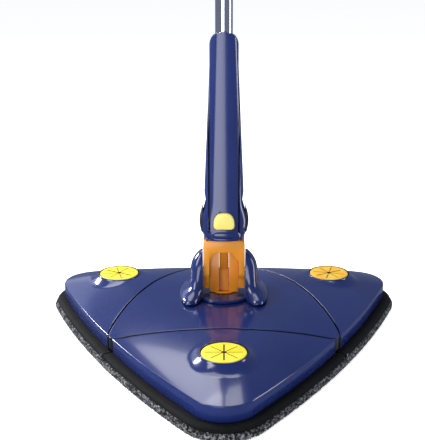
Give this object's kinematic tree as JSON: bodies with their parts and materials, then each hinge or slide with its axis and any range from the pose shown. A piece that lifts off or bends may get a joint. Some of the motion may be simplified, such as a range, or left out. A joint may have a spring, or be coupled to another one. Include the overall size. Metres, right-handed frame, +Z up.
{
  "type": "swivel mop",
  "caption": "Triangular flat mop with a swivelling, tilting handle and a sliding sleeve that folds its corner flaps to wring the pad.",
  "frame": {"origin": "on the floor, in the middle of the pad's underside, below the handle's axis", "axes": "+Z up along the handle, -Y towards the front corner flap, +X to the right of it"},
  "size_m": [0.3394, 0.3139, 0.717],
  "materials": {
    "navy_plastic": "glossy navy",
    "yellow_rubber": "soft satin yellow",
    "amber_rubber": "soft satin amber",
    "yellow_plastic": "glossy yellow",
    "orange_plastic": "glossy orange",
    "strap_webbing": "smooth orange strap",
    "chrome_steel": "bright chrome",
    "steel": "plain",
    "black_plastic": "matte black",
    "pad_plush": "grey plush over a black bound edge"
  },
  "bodies": {
    "head": {"centre_plate": "navy_plastic", "centre_hooks": "black_plastic", "centre_pad": "pad_plush", "front_hinge_pins": "steel", "left_hinge_pins": "steel", "right_hinge_pins": "steel"},
    "lift": {"lift_spider": "black_plastic"},
    "turret": {"turret": "navy_plastic", "turret_retainer": "black_plastic", "retainer_screws": "steel", "oval_grommet": "orange_plastic", "strap_guide": "orange_plastic", "tilt_pins": "steel"},
    "lower_run": {"strap_swivel": "steel", "lower_strap": "strap_webbing"},
    "handle": {"yoke": "orange_plastic", "roller_pin": "steel", "cross_pin": "steel", "lower_tube": "chrome_steel", "tip_plug": "chrome_steel", "coupling": "navy_plastic", "coupling_nut": "steel", "upper_tube": "chrome_steel", "grip": "navy_plastic", "grip_cap": "black_plastic"},
    "roller": {"strap_roller": "steel"},
    "upper_run": {"upper_strap": "strap_webbing"},
    "sleeve": {"rear_cover": "navy_plastic", "front_cover": "navy_plastic", "top_bush": "black_plastic", "strap_anchor": "orange_plastic", "anchor_screw": "steel", "fall_strap": "strap_webbing"},
    "button": {"button": "yellow_plastic"},
    "front_corner": {"front_flap": "navy_plastic", "front_flap_base": "black_plastic", "front_hooks": "black_plastic", "front_pad": "pad_plush", "front_clip": "yellow_rubber", "front_clip_ring": "black_plastic"},
    "right_corner": {"right_flap": "navy_plastic", "right_flap_base": "black_plastic", "right_hooks": "black_plastic", "right_pad": "pad_plush", "right_clip": "amber_rubber", "right_clip_ring": "black_plastic"},
    "left_corner": {"left_flap": "navy_plastic", "left_flap_base": "black_plastic", "left_hooks": "black_plastic", "left_pad": "pad_plush", "left_clip": "yellow_rubber", "left_clip_ring": "black_plastic"}
  },
  "joints": [
    {"name": "turret_spin", "type": "hinge", "parent": "head", "child": "turret", "pos_m": [0, 0, 0.0434], "axis": [0, 0, 1], "continuous": true},
    {"name": "handle_tilt", "type": "hinge", "parent": "turret", "child": "handle", "pos_m": [0, 0, 0.068], "axis": [1, 0, 0], "range_deg": [-85, 85]},
    {"name": "sleeve_slide", "type": "slide", "parent": "handle", "child": "sleeve", "axis": [0, 0, -1], "range_m": [0, 0.0159]},
    {"name": "button_press", "type": "slide", "parent": "sleeve", "child": "button", "axis": [0, 1, 0], "range_m": [0, 0.0012], "stiffness_N_per_m": 800, "springref_m": -0.002},
    {"name": "roller_spin", "type": "hinge", "parent": "handle", "child": "roller", "pos_m": [0, -0.0054, 0.136], "axis": [1, 0, 0], "continuous": true},
    {"name": "upper_run_slide", "type": "slide", "parent": "handle", "child": "upper_run", "axis": [0, 0, 1], "range_m": [0, 0.016]},
    {"name": "lower_run_slide", "type": "slide", "parent": "turret", "child": "lower_run", "axis": [0, 0, 1], "range_m": [0, 0.016]},
    {"name": "lift_slide", "type": "slide", "parent": "head", "child": "lift", "axis": [0, 0, 1], "range_m": [0, 0.016]},
    {"name": "front_fold", "type": "hinge", "parent": "head", "child": "front_corner", "pos_m": [0, -0.06, 0.0155], "axis": [1, 0, 0], "range_deg": [0, 72]},
    {"name": "right_fold", "type": "hinge", "parent": "head", "child": "right_corner", "pos_m": [0.05196, 0.03, 0.0155], "axis": [-0.5, 0.866, 0], "range_deg": [0, 72]},
    {"name": "left_fold", "type": "hinge", "parent": "head", "child": "left_corner", "pos_m": [-0.05196, 0.03, 0.0155], "axis": [-0.5, -0.866, 0], "range_deg": [0, 72]}
  ],
  "couplings": [
    {"joint": "upper_run_slide", "follows": "sleeve_slide", "ratio": 1},
    {"joint": "lower_run_slide", "follows": "sleeve_slide", "ratio": 1},
    {"joint": "lift_slide", "follows": "sleeve_slide", "ratio": 1},
    {"joint": "front_fold", "follows": "sleeve_slide", "rad_per_m": 78.6},
    {"joint": "right_fold", "follows": "sleeve_slide", "rad_per_m": 78.6},
    {"joint": "left_fold", "follows": "sleeve_slide", "rad_per_m": 78.6}
  ]
}
